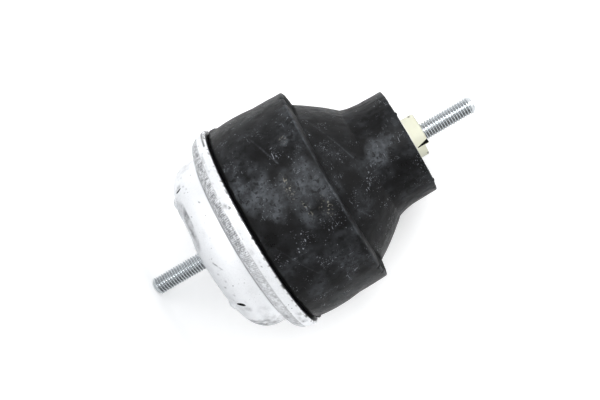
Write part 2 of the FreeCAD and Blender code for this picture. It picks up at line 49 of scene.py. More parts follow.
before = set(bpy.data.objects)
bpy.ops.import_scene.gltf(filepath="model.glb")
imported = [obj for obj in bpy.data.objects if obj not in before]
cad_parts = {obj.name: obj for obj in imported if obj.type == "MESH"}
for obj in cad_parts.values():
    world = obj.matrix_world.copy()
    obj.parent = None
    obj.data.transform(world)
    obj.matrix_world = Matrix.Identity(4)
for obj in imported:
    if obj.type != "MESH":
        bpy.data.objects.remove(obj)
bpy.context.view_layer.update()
MM = 0.001
FRONT = -90.0


def span(node):
    """A node's radius and its lowest and highest point, in millimetres."""
    low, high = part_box(node)
    return high.x / MM, low.z / MM, high.z / MM


CRIMP_RADIUS, CAN_LOW, CRIMP_TOP = span("base_can")
RING_LOW = span("outer_ring")[1]
CORE_RADIUS, CORE_LOW, CORE_SEAT = span("core")
COLLAR_RADIUS, COLLAR_LOW, COLLAR_TOP = span("locating_collar")
NECK_END = span("rubber_spring")[2]
HIGH_TIP = span("upper_stud")[2]
LOW_TIP = span("lower_stud")[1]
HEAD_RADIUS, _, HEAD_TOP = span("lower_stud")

# Sizes in millimetres that more than one piece needs.
LIP_WIDTH, LIP_WALL = 4.2, 1.2
RIM_HEIGHT, RIM_INSET, STEP_HEIGHT = 61.4, 0.4, 63.2
PRESS_RADIUS, SHANK_RADIUS = 4.5, 3.6

# Each lanced slot's angle about Z from +X, and how far it stands open.
SLOTS = ((-52, 1.0), (38, 0.9), (128, 0.8), (218, 0.5))
SLOT_TILT, SLOT_TWIST = math.radians(34.4), math.radians(20)

# Marks on the rubber and the can. A spot is its angle from the front, its height, its width and height on the
# surface, and its amount. A scratch is two places, each an angle and a height, then its width and its amount.
RIM_NICKS = (
    (-66, 2.4, 0.5), (-58, 1.2, 0.35), (58, 2.2, 0.5), (66, 1.4, 0.4),
    (24, 1.0, 0.25), (-20, 1.4, 0.2), (140, 2.0, 0.4), (205, 1.6, 0.5),
)
NECK_TAGS = (-31, 54, 150, 236)
# Dust spots; those from -23 to -4 degrees on the sleeve and on the neck are painted highlights.
DUST_AND_SHEEN = (
    (-8, 56.0, 26, 14, 0.55), (-16, 31.0, 20, 11, 0.55), (-23, 39.0, 16, 10, 0.30),
    (-8, 38.5, 26, 13, 0.55), (-4, 48.5, 34, 12, 0.5), (-34, 54.6, 9, 6, 0.3),
    (-6, 84.5, 15, 11, 0.75), (-12, 90.5, 10, 9, 0.4), (38, 50.0, 26, 14, 0.15),
    (46, 36, 20, 14, 0.2), (100, 45, 50, 20, 0.2), (35, 58, 20, 6, 0.2),
    (190, 40, 60, 24, 0.15), (-120, 50, 30, 14, 0.15),
)
SCRATCHES = (
    ((-43.9, 42.9), (-23.3, 48.5), 0.9, 0.5), ((10, 30), (36, 40), 0.7, 0.25),
    ((-50, 66), (-22, 76), 0.8, 0.25), ((20, 66), (44, 75), 0.8, 0.2),
    ((120, 35), (150, 52), 0.8, 0.4), ((215, 58), (240, 36), 0.8, 0.4),
)
WET = (
    (17, 92.5, 9, 8, 0.8), (-33, 91.0, 9, 9, 0.8), (14, 35, 12, 12, 0.6), (30, 56, 16, 10, 0.4),
    (-48, 35, 14, 10, 0.6), (-47, 53, 10, 9, 0.5), (-42, 43, 18, 36, 0.5), (-46, 88, 16, 20, 0.7),
    (32, 88, 16, 20, 0.6), (2, 68, 14, 6, 0.4), (160, 40, 9, 12, 0.5), (250, 50, 14, 10, 0.5),
)
GRITTY = (
    (-34, 54.6, 6, 4, 1), (-10, 47.5, 16, 4, 1), (4, 49.8, 12, 3, 1), (7, 56.8, 11, 7, 1),
    (150, 50, 10, 8, 1), (250, 36, 12, 6, 1),
)
DENTS = (
    (48, 17.5, 4, 4, 0.25), (52, 22.5, 3, 2.4, 0.25), (58, 24.6, 2.6, 2, 0.3),
    (-12, 24.8, 2.0, 1.4, 0.12), (-31.6, 12.0, 1.2, 1.2, 0.15), (64, 20.5, 3, 4, 0.25),
    (150, 24.4, 4, 2.6, 0.3), (230, 19, 3, 3, 0.25),
)
# Scuffs; the large spots low on the wall, at about 64 to 73 degrees either side of the front, are painted shade.
SCUFFS_AND_SHADE = (
    (-54, 5.4, 5, 4, 0.9), (42, 3.0, 26, 6, 0.2), (64, 5, 14, 9, 0.7), (73, 9, 32, 22, 0.75),
    (58, 18.5, 18, 7, 0.8), (60, 23.5, 22, 5, 0.9), (-72, 9, 26, 22, 0.28), (-70, 23.5, 16, 5, 0.6),
    (43, 6.6, 5, 4, 0.6), (-17, 22.2, 4, 3, 0.9), (-45, 21.8, 18, 1.8, 0.9), (8, 22, 5, 3, 0.5),
    (30, 12, 9, 7, 0.2), (-12, 9, 8, 6, 0.15), (50, 11, 12, 9, 0.25), (150, 20, 16, 10, 0.5),
    (200, 5, 30, 8, 0.5),
)
PITS = ((12, 4.4), (18, 5.5), (22, 3.8), (29, 5.2), (33, 3.4), (36, 7.5), (-50, 8.0), (-46, 9.0))
RUBBER_NICKS = (
    (-17, 22.2, 0.5), (-31, 21.7, 0.3), (-38, 22.4, 0.4), (-45, 21.8, 0.5),
    (-52, 22.6, 0.4), (-61, 21.9, 0.6), (-12, 24.4, 0.3), (14, 22.9, 0.25),
)


class MountSizes(PropertyGroup):
    """Sizes that the pieces share."""
    around: IntProperty(name="Steps round", description="Mesh steps round the large pieces",
                        default=480, min=96)
    grain: FloatProperty(name="Step along", description="Longest mesh step along a visible outline",
                         default=0.00045, unit="LENGTH", precision=5)
    can_radius: FloatProperty(name="Can radius", description="Outside of the can's wall",
                              default=0.0406, unit="LENGTH", precision=5)
    can_corner: FloatProperty(name="Can corner", description="Radius of the can's bottom corner",
                              default=0.0115, unit="LENGTH", precision=5)
    can_wall: FloatProperty(name="Can wall", description="Thickness of the can",
                            default=0.0022, unit="LENGTH", precision=5)
    sleeve_radius: FloatProperty(name="Sleeve radius", description="Outside of the rubber sleeve",
                                 default=0.0464, unit="LENGTH", precision=5)
    neck_radius: FloatProperty(name="Neck radius", description="Outside of the rubber neck",
                               default=0.0247, unit="LENGTH", precision=5)
    slot_length: FloatProperty(name="Slot length", description="Length of a lanced slot",
                               default=0.0039, unit="LENGTH", precision=5)
    slot_width: FloatProperty(name="Slot width", description="Width of a lanced slot",
                              default=0.0019, unit="LENGTH", precision=5)
    thread_radius: FloatProperty(name="Thread radius", description="Outside of both threads",
                                 default=0.004, unit="LENGTH", precision=5)
    thread_pitch: FloatProperty(name="Thread pitch", description="Distance between thread crests",
                                default=0.00125, unit="LENGTH", precision=5)
    thread_depth: FloatProperty(name="Thread depth", description="Depth of both threads",
                                default=0.00072, unit="LENGTH", precision=5)
    unevenness: FloatProperty(name="Unevenness", description="How far the moulded rubber wanders",
                              default=0.00016, unit="LENGTH", precision=5)


class MountColours(PropertyGroup):
    """Colours of the finishes."""
    rubber: FloatVectorProperty(name="Rubber", description="Clean moulded rubber", subtype="COLOR",
                                size=4, min=0, max=1, default=(0.0045, 0.0046, 0.005, 1))
    # Also the colour of the painted highlights on the rubber's front.
    dust_and_sheen: FloatVectorProperty(name="Dust", description="Dust and bloom on the rubber", subtype="COLOR",
                              size=4, min=0, max=1, default=(0.092, 0.100, 0.111, 1))
    grit: FloatVectorProperty(name="Grit", description="Dried grit on the rubber", subtype="COLOR",
                              size=4, min=0, max=1, default=(0.17, 0.162, 0.135, 1))
    aluminium: FloatVectorProperty(name="Aluminium", description="Tumbled aluminium", subtype="COLOR",
                                   size=4, min=0, max=1, default=(0.82, 0.832, 0.853, 1))
    # Also the colour of the painted shade on the can.
    tarnish_and_shade: FloatVectorProperty(name="Tarnish", description="Grey marks in aluminium", subtype="COLOR",
                                 size=4, min=0, max=1, default=(0.24, 0.245, 0.255, 1))
    zinc: FloatVectorProperty(name="Zinc", description="Bright zinc plating", subtype="COLOR",
                              size=4, min=0, max=1, default=(0.64, 0.67, 0.69, 1))
    nylon: FloatVectorProperty(name="Nylon", description="Natural nylon", subtype="COLOR",
                               size=4, min=0, max=1, default=(0.70, 0.70, 0.565, 1))
    steel: FloatVectorProperty(name="Steel", description="Phosphated steel", subtype="COLOR",
                               size=4, min=0, max=1, default=(0.10, 0.10, 0.105, 1))
    paper: FloatVectorProperty(name="Paper", description="Floor and backdrop", subtype="COLOR",
                               size=4, min=0, max=1, default=(0.955, 0.96, 0.965, 1))


class StudioSettings(PropertyGroup):
    """Camera and light."""
    distance: FloatProperty(name="Distance", description="From the camera to the mount's axis",
                            default=0.4513, unit="LENGTH", precision=4)
    elevation: FloatProperty(name="Elevation", description="Camera's height as an angle",
                             default=math.radians(4.35), subtype="ANGLE")
    lean: FloatProperty(name="Lean", description="How far above level the studs run in the view",
                        default=math.radians(30.19), subtype="ANGLE")
    aim_height: FloatProperty(name="Aim height", description="Where the view crosses the mount's axis",
                              default=0.0455, unit="LENGTH", precision=4)
    aim_side: FloatProperty(name="Aim side", description="How far the view passes beside the axis",
                            default=-0.0014, unit="LENGTH", precision=4)
    lens: FloatProperty(name="Lens", description="Focal length", default=61.8, unit="CAMERA")
    soft_light: FloatProperty(name="Soft light", description="Strength of the light all round",
                              default=0.50, min=0)
    key_power: FloatProperty(name="Key light", description="Power of the large lamp by the camera",
                             default=7.0, unit="POWER")
    top_power: FloatProperty(name="Top light", description="Power of the lamp over the floor",
                             default=5.0, unit="POWER")


# ---------------------------------------------------------------- outlines and turned meshes

def arc(start, end, radius, left):
    """Points of the short arc from start to end, without start, turning left or right."""
    start, end = np.array(start, float), np.array(end, float)
    chord = end - start
    length = np.linalg.norm(chord)
    side = np.array([-chord[1], chord[0]]) / length * (1 if left else -1)
    centre = (start + end) / 2 + side * math.sqrt(max(radius**2 - length**2 / 4, 0))
    first, last = (math.atan2(*(p - centre)[::-1]) for p in (start, end))
    turn = (last - first + math.pi) % (2 * math.pi) - math.pi
    count = max(3, int(abs(turn) * radius / 0.4))
    angles = first + turn * np.arange(1, count + 1) / count
    return [tuple(centre + radius * np.array([math.cos(a), math.sin(a)])) for a in angles]


def outline(corners, step, coarse=()):
    """Rows of (radius, height) along corners, no further apart than step, or ten times that on coarse edges.

    A corner is (radius, height), or (radius, height, bend) where the edge before it is an arc of radius bend,
    turning left if bend is above 0 and right if below.
    """
    rows = []
    for index, corner in enumerate(corners):
        before = corners[index - 1]
        if len(corner) > 2:
            rows += arc(before[:2], corner[:2], abs(corner[2]), corner[2] > 0)
            continue
        length = math.dist(before[:2], corner[:2])
        count = max(1, math.ceil(length / (step * (10 if index in coarse else 1))))
        for part in range(1, count + 1):
            share = part / count
            rows.append((before[0] + (corner[0] - before[0]) * share,
                         before[1] + (corner[1] - before[1]) * share))
    return np.array(rows)


def outward(rows, closed=True):
    """Unit normals of an outline, pointing out of the solid on its left."""
    if closed:
        along = np.roll(rows, -1, 0) - np.roll(rows, 1, 0)
    else:
        along = np.gradient(rows, axis=0)
    along /= np.maximum(np.linalg.norm(along, axis=1, keepdims=True), 1e-9)
    return np.stack([along[:, 1], -along[:, 0]], 1)


def from_front(angle, place=0):
    """How far an angle is past a place that is given from the front, between -180 and 180 degrees."""
    return (angle - (FRONT + place) + 180) % 360 - 180


class Turned:
    """A grid turned about Z: one row for each outline point and one column for each step round."""

    def __init__(self, rows, steps, closed=True):
        self.rows, self.closed = rows, closed
        self.angle = np.linspace(0, 360, steps, endpoint=False)[None, :]
        self.radius = np.repeat(rows[:, :1], steps, 1)
        self.height = np.repeat(rows[:, 1:], steps, 1)
        self.normal = outward(rows, closed)
        self.masks = {}

    def push(self, amount):
        """Moves points out along the outline's normals, in millimetres."""
        self.radius = self.radius + amount * self.normal[:, :1]
        self.height = self.height + amount * self.normal[:, 1:]

    def band(self, low, high, soft=0.4):
        """1 between two heights and 0 outside them."""
        height = self.rows[:, 1:]
        return smooth((height - low) / soft + 0.5) * smooth((high - height) / soft + 0.5)

    def outer(self):
        """1 on faces that look outwards or along the axis near the outside, 0 on the inside of the solid."""
        return (self.normal[:, :1] > -0.2).astype(float)

    def patch(self, angle, height, wide, tall, soft=0.6):
        """1 in the middle of a spot wide and tall millimetres across, 0 outside it."""
        side = np.radians(from_front(self.angle, angle)) * self.rows[:, :1] / (wide / 2)
        rise = (self.rows[:, 1:] - height) / (tall / 2)
        return smooth((1 - np.hypot(side, rise)) / soft) * self.outer()

    def sum(self, spots, soft=0.6, start=0):
        """The start plus every spot's patch times its amount."""
        for angle, height, wide, tall, amount in spots:
            start = start + amount * self.patch(angle, height, wide, tall, soft)
        return start

    def most(self, spots, soft=0.6, start=0):
        """The largest of the start and every spot's patch times its amount."""
        for angle, height, wide, tall, amount in spots:
            start = np.maximum(start, amount * self.patch(angle, height, wide, tall, soft))
        return start

    def streak(self, start, end, wide, soft=0.6):
        """1 along a line between two (angle, height) places, wide millimetres across."""
        side = np.radians(from_front(self.angle, start[0])) * self.rows[:, :1]
        rise = self.rows[:, 1:] - start[1]
        reach = np.array([np.radians(end[0] - start[0]) * self.rows[:, :1].max(), end[1] - start[1]])
        share = np.clip((side * reach[0] + rise * reach[1]) / (reach @ reach), 0, 1)
        gap = np.hypot(side - share * reach[0], rise - share * reach[1])
        return smooth((1 - gap / (wide / 2)) / soft) * self.outer()

    def mesh(self, name):
        """The grid as a mesh, with its masks as point attributes."""
        steps = self.angle.shape[1]
        count = len(self.rows)
        turn = np.radians(self.angle)
        points = np.stack([self.radius * np.cos(turn), self.radius * np.sin(turn), self.height], -1)
        last = count if self.closed else count - 1
        i, j = np.meshgrid(np.arange(last), np.arange(steps), indexing="ij")
        up, on = (i + 1) % count, (j + 1) % steps
        faces = np.stack([i * steps + j, i * steps + on, up * steps + on, up * steps + j], -1)
        mesh = bpy.data.meshes.new(name)
        mesh.from_pydata((points.reshape(-1, 3) * MM).tolist(), [], faces.reshape(-1, 4).tolist())
        for mask, values in self.masks.items():
            store = mesh.attributes.new(mask, "FLOAT", "POINT")
            full = np.broadcast_to(values, self.radius.shape)
            store.data.foreach_set("value", np.ascontiguousarray(full, np.float32).ravel())
        return mesh


def smooth(value):
    """Smoothstep of a value held between 0 and 1."""
    held = np.clip(value, 0, 1)
    return held * held * (3 - 2 * held)


def mottle(angle, height, cells, tall, seed):
    """Soft noise between -1 and 1 that closes round the axis: so many cells in a turn, tall millimetres high."""
    low = LOW_TIP - tall
    table = np.random.default_rng(seed).uniform(-1, 1, (int((HIGH_TIP - low) / tall) + 3, cells))
    across = (angle % 360) / 360 * cells
    up = (height - low) / tall
    left, foot = np.floor(across).astype(int), np.floor(up).astype(int)
    u, v = smooth(across - left), smooth(up - foot)
    left, right = left % cells, (left + 1) % cells
    lower = table[foot, left] * (1 - u) + table[foot, right] * u
    upper = table[foot + 1, left] * (1 - u) + table[foot + 1, right] * u
    return lower * (1 - v) + upper * v


def piece(name, mesh, material, node=None, crease=50):
    """Links a finished mesh as an object of the frame, in place of a CAD node if one is named."""
    mesh.validate()
    tidy = bmesh.new()
    tidy.from_mesh(mesh)
    bmesh.ops.remove_doubles(tidy, verts=tidy.verts, dist=1e-7)
    bmesh.ops.recalc_face_normals(tidy, faces=tidy.faces)
    tidy.to_mesh(mesh)
    tidy.free()
    mesh.shade_smooth()
    mesh.set_sharp_from_angle(angle=math.radians(crease))
    made = bpy.data.objects.new(name, mesh)
    bpy.context.scene.collection.objects.link(made)
    made.data.materials.append(material)
    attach(made, "root")
    if node:
        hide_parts(node)
    return made


# ---------------------------------------------------------------- finishes

class Finish:
    """A material under construction, with its nodes laid out from left to right."""

    def __init__(self, name):
        self.material = bpy.data.materials.new(name)
        self.material.use_nodes = True
        self.tree = self.material.node_tree
        self.shader = self.tree.nodes["Principled BSDF"]
        self.place = self.add("ShaderNodeTexCoord").outputs["Object"]

    def add(self, kind, **settings):
        """A node with its settings and, under inputs, its sockets' values or links."""
        inputs = settings.pop("inputs", {})
        made = self.tree.nodes.new(kind)
        made.location = (200 * (len(self.tree.nodes) % 8) - 1800, -220 * (len(self.tree.nodes) // 8))
        for key, value in settings.items():
            setattr(made, key, value)
        for key, value in inputs.items():
            self.feed(made.inputs[key], value)
        return made

    def feed(self, socket, value):
        """Links a socket to an output, or sets it to a plain value."""
        if isinstance(value, bpy.types.NodeSocket):
            self.tree.links.new(value, socket)
        else:
            socket.default_value = value

    def stretched(self, scale):
        """The place in the frame with each axis scaled."""
        return self.add("ShaderNodeMapping", inputs={"Vector": self.place, "Scale": scale}).outputs[0]

    def noise(self, size, detail=3.0, place=None, rough=0.55):
        """Noise whose lumps are about size millimetres across."""
        return self.add("ShaderNodeTexNoise", inputs={
            "Vector": place or self.place, "Scale": 1 / (size * MM), "Detail": detail,
            "Roughness": rough}).outputs["Fac"]

    def specks(self, size, place=None):
        """Distance from the nearest of many scattered points, about size millimetres apart."""
        return self.add("ShaderNodeTexVoronoi", inputs={
            "Vector": place or self.place, "Scale": 1 / (size * MM)}).outputs["Distance"]

    def flecks(self, size, share, scale=(1, 1, 1)):
        """1 on ragged flecks, fewer of them for a higher share, and 0 between them."""
        return self.range(self.noise(size, 2.0, self.stretched(scale), 0.5), share, share + 0.03)

    def mask(self, name):
        """A mask stored on the mesh."""
        return self.add("ShaderNodeAttribute", attribute_name=name).outputs["Fac"]

    def range(self, value, low, high, to_low=0.0, to_high=1.0):
        """Maps a value from one range to another and holds it there."""
        return self.add("ShaderNodeMapRange", inputs={
            "Value": value, "From Min": low, "From Max": high, "To Min": to_low,
            "To Max": to_high}).outputs["Result"]

    def maths(self, operation, first, second=0.0):
        """Arithmetic on two values."""
        return self.add("ShaderNodeMath", operation=operation, inputs={0: first, 1: second}).outputs[0]

    def ticks(self, count):
        """A wave between -1 and 1 with count crests in a turn about Z."""
        turn = self.add("ShaderNodeTexGradient", gradient_type="RADIAL",
                        inputs={"Vector": self.place}).outputs["Fac"]
        return self.maths("SINE", self.maths("MULTIPLY", turn, 2 * math.pi * count))

    def blend(self, factor, first, second):
        """Mixes two colours."""
        made = self.add("ShaderNodeMix", data_type="RGBA")
        self.feed(made.inputs[0], factor)
        self.feed(made.inputs[6], first)
        self.feed(made.inputs[7], second)
        return made.outputs[2]

    def bump(self, height, distance, strength=1.0, under=None):
        """A bump whose full height is distance millimetres."""
        inputs = {"Height": height, "Distance": distance * MM, "Strength": strength}
        if under:
            inputs["Normal"] = under
        return self.add("ShaderNodeBump", inputs=inputs).outputs[0]

    def finish(self, **sockets):
        """Sets the shader's sockets and gives the material."""
        for key, value in sockets.items():
            self.feed(self.shader.inputs[key.replace("_", " ").title()], value)
        return self.material


def colours():
    """The colour settings of this scene."""
    return bpy.context.scene.mount_colours


def sizes():
    """The size settings of this scene."""
    return bpy.context.scene.mount_sizes


def rubber_finish():
    """Black moulded rubber with bloom, dust, painted highlights, dried specks, wet spots, fine scratches and
    painted shade.
    """
    made = Finish("rubber_moulded")
    dust_and_sheen, wet = made.mask("dust_and_sheen"), made.mask("wet")
    grit, painted_shade = made.mask("grit"), made.mask("painted_shade")
    mottled = made.range(made.noise(3.2, 5.0, rough=0.65), 0.42, 0.62)
    cloud = made.range(made.noise(11.0, 4.0), 0.44, 0.62)
    # Dust, with the painted highlights on the rubber's front.
    dust_and_sheen_veil = made.maths("MULTIPLY", dust_and_sheen, made.range(mottled, 0.0, 1.0, 0.35, 1.0))
    dust_and_sheen_veil = made.maths("ADD", dust_and_sheen_veil, made.maths("MULTIPLY", made.maths("MULTIPLY", cloud, mottled), 0.10))
    colour = made.blend(dust_and_sheen_veil, tuple(colours().rubber), tuple(colours().dust_and_sheen))
    bloom, chosen = (0.17, 0.18, 0.20, 1), made.range(made.noise(6.0, 4.0), 0.51, 0.62)
    for size, share, scale in ((1.0, 0.665, (1, 1, 1)), (0.55, 0.66, (1, 1, 1)),
                               (1.4, 0.685, (0.35, 0.35, 2.2)), (1.2, 0.69, (2.2, 2.2, 0.4))):
        colour = made.blend(made.maths("MULTIPLY", made.flecks(size, share, scale), chosen), colour, bloom)
    colour = made.blend(made.maths("MULTIPLY", made.flecks(0.9, 0.735), 0.9), colour, bloom)
    colour = made.blend(made.maths("MULTIPLY", made.flecks(0.8, 0.58), grit), colour, tuple(colours().grit))
    hollow = made.maths("MULTIPLY", made.flecks(2.0, 0.60), made.maths("SUBTRACT", 1.0, chosen))
    colour = made.blend(made.maths("MULTIPLY", hollow, 0.7), colour, (0.003, 0.003, 0.0033, 1))
    # Wet spots, and the painted shade in the crimp groove and on the rim's top face, turn near-black.
    colour = made.blend(made.maths("MAXIMUM", wet, painted_shade), colour, (0.002, 0.002, 0.0022, 1))
    rough = made.range(made.maths("ADD", dust_and_sheen_veil, mottled), 0.0, 1.3, 0.38, 0.56)
    rough = made.maths("SUBTRACT", rough, made.maths("MULTIPLY", wet, 0.16))
    rough = made.maths("ADD", rough, made.maths("MULTIPLY", painted_shade, 0.4))
    lumps = made.bump(made.noise(2.8, 4.0), 0.14)
    grain = made.bump(made.noise(0.4, 3.0), 0.03, 0.8, lumps)
    made.shader.inputs["Specular IOR Level"].default_value = 0.10
    return made.finish(base_color=colour, roughness=rough, normal=grain)


def can_finish():
    """Tumbled aluminium: satin, with grey scuffs, pits, a chattered shoulder, smears of rubber and painted
    shade.
    """
    made = Finish("aluminium_satin")
    scuff_and_shade, chatter = made.mask("scuff_and_shade"), made.mask("chatter")
    crease_shade, smear_and_gap_shade = made.mask("crease_shade"), made.mask("smear_and_gap_shade")
    fine = made.noise(0.6, 5.0, rough=0.65)
    cloud = made.range(made.noise(6.0, 5.0), 0.35, 0.75)
    tarnish_and_shade = tuple(colours().tarnish_and_shade)
    colour = made.blend(made.range(fine, 0.45, 0.75, 0.0, 0.10), tuple(colours().aluminium), tarnish_and_shade)
    # Scuffs and painted shade, broken up by noise.
    tone_shift = made.maths("MULTIPLY", scuff_and_shade, made.range(made.maths("ADD", fine, cloud), 0.45, 1.15))
    colour = made.blend(tone_shift, colour, tarnish_and_shade)
    long = made.noise(0.7, 4.0, made.stretched((1, 1, 0.35)), 0.7)
    wave = made.maths("MULTIPLY", made.ticks(350), 0.06)
    blots = made.maths("MULTIPLY", made.maths("SUBTRACT", made.noise(1.6, 4.0), 0.5), 0.7)
    strokes = made.maths("ADD", made.maths("ADD", long, wave), blots)
    # Chatter strokes, with painted shade that makes them darker on the left of the front.
    strokes = made.maths("MULTIPLY", made.mask("chatter_and_side_shade"), made.range(strokes, 0.34, 0.62))
    colour = made.blend(strokes, colour, tarnish_and_shade)
    # Painted shade in the bends of the shoulder.
    colour = made.blend(crease_shade, colour, (0.07, 0.07, 0.075, 1))
    pit = made.maths("MULTIPLY", made.range(made.specks(2.2), 0.16, 0.09),
                     made.range(made.noise(5.0), 0.52, 0.58))
    pit = made.maths("MAXIMUM", pit, made.maths("MULTIPLY", made.flecks(0.8, 0.70), cloud))
    colour = made.blend(made.maths("MULTIPLY", pit, 0.75), colour, (0.10, 0.10, 0.11, 1))
    # Rubber smears, and painted shade on the lip's top face in the gap, are black.
    colour = made.blend(smear_and_gap_shade, colour, (0.008, 0.008, 0.008, 1))
    rough = made.range(made.maths("ADD", tone_shift, chatter), 0.0, 1.0, 0.36, 0.52)
    bumps = made.bump(made.maths("SUBTRACT", made.noise(1.6, 4.0), pit), 0.05)
    knurl = made.bump(made.maths("MULTIPLY", made.maths("ADD", long, wave), chatter), 0.3, 1.0, bumps)
    return made.finish(base_color=colour, roughness=rough, normal=knurl,
                       metallic=made.maths("SUBTRACT", 1.0, smear_and_gap_shade))


def dark_finish(name):
    """Painted shade: near-black walls of a narrow cut."""
    made = Finish(name)
    patchy = made.range(made.noise(0.6), 0.3, 0.7)
    colour = made.blend(patchy, (0.004, 0.004, 0.004, 1), (0.012, 0.012, 0.012, 1))
    made.shader.inputs["Specular IOR Level"].default_value = 0.1
    return made.finish(base_color=colour, roughness=made.range(made.noise(0.5), 0.3, 0.7, 0.8, 0.95))


def thread_finish():
    """Bright zinc plating with painted shade in the thread roots."""
    made = Finish("zinc_bright")
    cloud = made.range(made.noise(3.0, 4.0), 0.3, 0.75)
    zinc = tuple(colours().zinc)
    dull = tuple(0.6 * part for part in zinc[:3]) + (1,)
    colour = made.blend(made.maths("MULTIPLY", cloud, 0.35), zinc, dull)
    # Painted shade in the thread roots.
    root = made.range(made.mask("root"), 0.25, 0.85)
    colour = made.blend(made.maths("MULTIPLY", root, 0.72), colour, (0.08, 0.083, 0.086, 1))
    return made.finish(base_color=colour, roughness=made.range(cloud, 0, 1, 0.17, 0.26), metallic=1.0,
                       normal=made.bump(made.noise(0.4, 3.0), 0.01))


def metal_finish(name, colour, rough_low, rough_high, lump):
    """A plain metal with soft clouds, fine grain and a shallow bump."""
    made = Finish(name)
    cloud = made.range(made.noise(4.0, 4.0), 0.3, 0.75)
    grain = made.range(made.noise(0.4, 4.0), 0.3, 0.7)
    dark = tuple(0.55 * part for part in colour[:3]) + (1,)
    mixed = made.blend(made.maths("MULTIPLY", cloud, grain), tuple(colour), dark)
    return made.finish(base_color=mixed, roughness=made.range(cloud, 0, 1, rough_low, rough_high),
                       metallic=1.0, normal=made.bump(grain, lump))


def nylon_finish():
    """Natural nylon: cream, a little waxy, faintly soiled."""
    made = Finish("nylon_natural")
    soil = made.range(made.noise(1.6, 4.0), 0.52, 0.8, 0.0, 0.3)
    colour = made.blend(soil, tuple(colours().nylon), (0.62, 0.59, 0.46, 1))
    # Darker along the top edge and in two spots.
    colour = made.blend(made.mask("darkening"), colour, (0.10, 0.09, 0.06, 1))
    made.shader.inputs["Subsurface Weight"].default_value = 0.15
    made.shader.inputs["Subsurface Radius"].default_value = (0.002, 0.0018, 0.001)
    return made.finish(base_color=colour, roughness=made.range(made.noise(0.8), 0.3, 0.7, 0.4, 0.55),
                       normal=made.bump(made.noise(0.9, 3.0), 0.03))


def soft_finish():
    """The hidden bellows and membrane: plain moulded rubber."""
    made = Finish("rubber_inner")
    fine = made.range(made.noise(1.2, 4.0), 0.3, 0.75)
    colour = made.blend(fine, tuple(colours().rubber), (0.03, 0.03, 0.031, 1))
    return made.finish(base_color=colour, roughness=made.range(fine, 0, 1, 0.5, 0.65),
                       normal=made.bump(made.noise(0.8, 3.0), 0.05))


# ---------------------------------------------------------------- pieces

